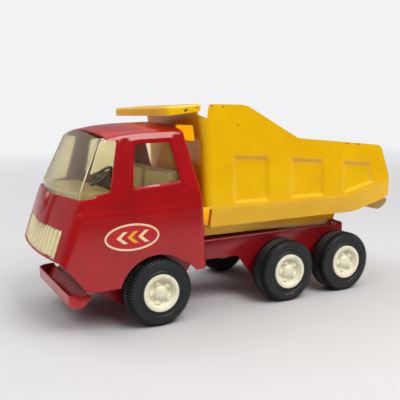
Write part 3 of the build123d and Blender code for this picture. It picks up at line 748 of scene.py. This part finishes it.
# Chassis, fittings and the inside of the cab
bumperRear = 38.4                            # the tray ahead of this takes a lighter red: painted light on its faces turned up and forward
chassis = softened("chassis_frame", "chassis_pressing", chassisRed, 0.3)
chassis.data.materials.append(bumperLitRed)
for polygon in chassis.data.polygons:
    if (fromFrame @ polygon.center).x > bumperRear:
        polygon.material_index = 1
softened("cab_rivets", "cab_rivet_heads", steelWire, 0.0)
softened("hinge_pin", "tipping_pin", chassisRed, 0.0)
softened("cab_interior", "seat_moulding", seatStyrene, 0.5, 3)
softened("steering_wheel", "steering_ring", blackStyrene, 0.0)

decal = {"x": 15.5, "z": 53.1, "halfLength": 15.9, "halfHeight": 7.5, "rim": 1.1, "y": 47.0}


def buildDecal(side, name):                  # cream-rimmed oval with a row of chevrons
    bm = bmesh.new()
    bmesh.ops.create_circle(bm, cap_ends=True, segments=96, radius=1.0)
    bmesh.ops.scale(bm, vec=(decal["halfLength"], decal["halfHeight"], 1), verts=bm.verts)
    bmesh.ops.inset_region(bm, faces=bm.faces[:], thickness=decal["rim"], use_even_offset=True,
                           use_boundary=True)
    for f in bm.faces:
        f.material_index = 1 if len(f.verts) > 4 else 0
    for n in (-1, 0, 1):                     # each chevron points forward
        tip, arm, thick, rise = n * 6.2 + 3.0, 3.9, 2.6, 3.3
        outline = [(tip, 0), (tip - arm, rise), (tip - arm - thick, rise), (tip - thick, 0),
                   (tip - arm - thick, -rise), (tip - arm, -rise)]
        verts = [bm.verts.new((x, z, 0.06)) for x, z in outline]
        for quad in ((0, 1, 2, 3), (0, 3, 4, 5)):
            bm.faces.new([verts[k] for k in quad]).material_index = 2 if n == 0 else 0
    bmesh.ops.rotate(bm, verts=bm.verts, cent=(0, 0, 0), matrix=Matrix.Rotation(math.radians(90), 3, "X"))
    if side > 0:
        bmesh.ops.scale(bm, vec=(1, -1, 1), verts=bm.verts)
    bmesh.ops.translate(bm, verts=bm.verts, vec=(decal["x"], side * (decal["y"] + 0.05), decal["z"]))
    bmesh.ops.recalc_face_normals(bm, faces=bm.faces)
    for f in bm.faces:
        if f.normal.y * side < 0:
            f.normal_flip()
    obj = asObject(f"oval_sticker_{name}", bm, decalInks)
    return finishPiece(obj, "truck", [f"door_decal_{name}"])


for side, name in ((1, "left"), (-1, "right")):
    buildDecal(side, name)
print("chassis and fittings built")


# Wheels

tyre = {"radius": 19.5, "outer": 48.9, "inner": 33.9, "shoulder": 2.6, "notches": 72, "notchDepth": 0.95}
hub = {"lugs": 5, "pocket": 0.6, "lugRise": 1.4}


def tyreProfile():
    outer, radius, bend = tyre["outer"], tyre["radius"], tyre["shoulder"]
    middle = (outer + tyre["inner"]) / 2
    side = [(10.9, 48.25), (11.0, 48.6), (11.5, 48.85), (12.4, 48.9), (12.7, 48.62), (13.3, 48.62),
            (13.6, 48.9), (15.4, 48.9), (16.2, 48.82)]
    arc = [(radius - bend + bend * math.sin(math.radians(a)), outer - bend + bend * math.cos(math.radians(a)))
           for a in (8, 24, 40, 56, 72, 90)]
    tread = [(radius, 45.2), (radius, 44.0), (radius - 0.02, 43.9), (radius, 43.2), (radius - 0.35, 43.0),
             (radius - 0.35, 42.6), (radius, 42.4)]
    half = side + arc + tread
    return [(9.9, 41.4), (9.9, 48.25)] + half + [(r, 2 * middle - y) for r, y in reversed(half)] \
        + [(9.9, 34.55), (9.9, 41.4)]


def buildTyre(bm):
    steps = tyre["notches"] * 4
    spunRing(bm, tyreProfile(), steps)
    middle = (tyre["outer"] + tyre["inner"]) / 2
    for v in bm.verts:
        radius = math.hypot(v.co.x, v.co.z)
        offset = abs(v.co.y - middle)
        if radius > 17.0 and offset > 2.55:
            turn = math.atan2(v.co.z, v.co.x) / (2 * math.pi) * steps
            cut = (round(turn) % 4) in (0, 1)
            band = smoothStep(2.5, 2.9, offset) * (1 - smoothStep(7.35, 7.5, offset))
            scale = (radius - tyre["notchDepth"] * band * cut) / radius
            v.co.x *= scale
            v.co.z *= scale


def buildHub(bm):
    face = 49.4
    profile = [(0.0, face - 0.45), (1.2, face - 0.47), (2.2, face - 0.6), (3.0, face - 0.9), (3.7, face - 1.5),
               (4.1, face - 2.3), (4.3, face - 3.0), (4.6, face - 3.2), (5.1, face - 3.2), (5.7, face - 3.2),
               (6.3, face - 3.2), (6.8, face - 3.15), (7.1, face - 3.0), (7.25, face - 2.2), (7.4, face - 1.7),
               (7.7, face - 1.5), (8.0, face - 1.45), (8.25, face - 0.7), (8.45, face - 0.2), (8.8, face),
               (10.3, face), (10.65, face - 0.12), (10.8, face - 0.45), (10.8, face - 1.15), (9.8, face - 1.15),
               (9.8, 34.6), (8.5, 34.6), (8.5, 44.7), (3.2, 44.7), (3.2, 30.5), (1.65, 30.5), (1.65, 44.0)]
    spunRing(bm, profile, 120)
    for v in bm.verts:
        radius = math.hypot(v.co.x, v.co.z)
        if 4.0 < radius < 7.2 and v.co.y > 45.5:
            wave = math.cos(hub["lugs"] * math.atan2(v.co.z, v.co.x))
            band = smoothStep(4.0, 4.7, radius) * (1 - smoothStep(6.9, 7.2, radius))
            v.co.y += (hub["lugRise"] * smoothStep(-0.1, 0.7, wave)
                       - hub["pocket"] * smoothStep(0.0, 0.7, -wave)) * band


for wheelSet in wheelSets:
    for side, name in ((1, "left"), (-1, "right")):
        for label, make, mat, slotName, angle in (("tyre", buildTyre, tyreVinyl, "tyre", 38.0),
                                                  ("hub", buildHub, creamStyrene, "cream_plastic", 32.0)):
            bm = bmesh.new()
            make(bm)
            if side < 0:
                bmesh.ops.scale(bm, vec=(1, -1, 1), verts=bm.verts)
            shift = (axleX[wheelSet] - axleX["front"]) * 1000
            bmesh.ops.translate(bm, verts=bm.verts, vec=(shift, 0, tyre["radius"]))
            bmesh.ops.recalc_face_normals(bm, faces=bm.faces)
            obj = asObject(f"{wheelSet}_{label}_moulding_{name}", bm, [mat])
            finishPiece(obj, f"{wheelSet}_wheels", [f"{wheelSet}_{label}_{name}"], angle=angle)
    axle = frame["nodes"][f"{wheelSet}_axle"]
    axle.data.materials.clear()
    axle.data.materials.append(steelWire)
print("wheels built")


# Studio: pale seamless sweep, broad soft light from above and a weaker one from the front

studio = {
    "floor": "#C8C7C9", "floorShade": "#C4C3C6", "floorHalf": 6.0, "floorFront": 0.30,
    "backdrop": "#F1F2F4",                   # what the camera sees past the floor
    "fadeNear": 0.30, "fadeFar": 1.5,        # the floor pales into the backdrop over this distance
    "frontFade": 0.17,                       # and again towards its front edge
    "zenith": 1.45, "horizon": 0.26, "front": 0.06,   # light from above, from around and from behind the camera
    "lights": [((-0.15, 0.62, 0.80), 0.55, 6.5, "#FFFDF8"), ((0.55, -0.50, 0.75), 0.7, 2.8, "#FFFFFF")],
}
camera = {"azimuth": 152.77, "elevation": 8.64, "roll": -1.10, "focalPixels": 594.4, "framePixels": 400,
          "place": (127.378, 345.395, 120.956)}


def seenByEye(tree):                         # 1 on the camera's rays and on those that came through the glazing
    path = addNode(tree, "ShaderNodeLightPath").outputs
    return maths(tree, "MAXIMUM", path["Is Camera Ray"], path["Is Transmission Ray"])


def buildStudio():
    mat, tree, shader, coords = newMaterial("matt card")
    paper = noiseOf(tree, coords, 30.0, 3.0)
    card = mixed(tree, paper, linear(studio["floor"]), linear(studio["floorShade"]))
    tree.links.new(card, shader.inputs["Base Color"])
    shader.inputs["Roughness"].default_value = 0.85
    reach = addNode(tree, "ShaderNodeVectorMath", {0: coords}, operation="LENGTH").outputs["Value"]
    ahead = addNode(tree, "ShaderNodeSeparateXYZ", {0: coords}).outputs["Y"]
    pale = maths(tree, "MAXIMUM", ranged(tree, reach, studio["fadeNear"], studio["fadeFar"], 0.0, 1.0),
                 ranged(tree, ahead, studio["frontFade"], studio["floorFront"], 0.0, 1.0))
    pale = maths(tree, "MULTIPLY", pale, seenByEye(tree))
    glow = addNode(tree, "ShaderNodeEmission", {"Color": linear(studio["backdrop"])}).outputs[0]
    blend = addNode(tree, "ShaderNodeMixShader", {0: pale, 1: shader.outputs[0], 2: glow}).outputs[0]
    tree.links.new(blend, tree.nodes["Material Output"].inputs["Surface"])
    bm = bmesh.new()
    reach, front = studio["floorHalf"], studio["floorFront"]
    bmesh.ops.create_grid(bm, x_segments=2, y_segments=2, size=reach)
    bmesh.ops.translate(bm, verts=bm.verts, vec=(0, front - reach, 0))
    floor = asObject("studio_floor", bm, [mat])
    for n, (place, size, watts, colour) in enumerate(studio["lights"]):
        data = bpy.data.lights.new(f"softbox_{n}", "AREA")
        data.size, data.energy, data.color = size, watts, linear(colour)[:3]
        lamp = bpy.data.objects.new(f"softbox_{n}", data)
        lamp.location = place
        lamp.rotation_mode = "QUATERNION"
        lamp.rotation_quaternion = (Vector(place) - Vector((0, 0, 0.06))).to_track_quat("Z", "Y")
        bpy.context.scene.collection.objects.link(lamp)
    world = bpy.data.worlds.new("studio")
    bpy.context.scene.world = world
    world.use_nodes = True
    sky = world.node_tree
    direction = addNode(sky, "ShaderNodeTexCoord").outputs["Generated"]
    parts = addNode(sky, "ShaderNodeSeparateXYZ", {0: direction})
    lift = ranged(sky, parts.outputs["Z"], 0.4, 0.95, 0.0, 1.0)
    around = ranged(sky, parts.outputs["Y"], 0.1, 0.6, studio["horizon"], studio["front"])
    level = addNode(sky, "ShaderNodeMix", {0: lift, 2: around, 3: studio["zenith"]}).outputs[0]
    glow = addNode(sky, "ShaderNodeCombineColor", {0: level, 1: level, 2: level}).outputs[0]
    tone = mixed(sky, seenByEye(sky), glow, linear(studio["backdrop"]))
    sky.links.new(tone, sky.nodes["Background"].inputs["Color"])
    bpy.context.scene.view_settings.view_transform = "Standard"


def buildCamera():
    azimuth, elevation, roll = (math.radians(camera[k]) for k in ("azimuth", "elevation", "roll"))
    back = Vector((math.sin(azimuth) * math.cos(elevation), -math.cos(azimuth) * math.cos(elevation),
                   math.sin(elevation)))
    right = Vector((0, 0, 1)).cross(back).normalized()
    up = back.cross(right)
    turnedRight = math.cos(roll) * right + math.sin(roll) * up
    turnedUp = back.cross(turnedRight)
    data = bpy.data.cameras.new("studio_camera")
    data.sensor_width = 36.0
    data.lens = camera["focalPixels"] / camera["framePixels"] * data.sensor_width
    data.clip_start, data.clip_end = 0.01, 30.0
    made = bpy.data.objects.new("studio_camera", data)
    made.matrix_world = Matrix.Translation(toFrame @ Vector(camera["place"])) @ Matrix(
        (turnedRight, turnedUp, back)).transposed().to_4x4()
    bpy.context.scene.collection.objects.link(made)
    bpy.context.scene.camera = made


buildStudio()
buildCamera()
print("studio built")
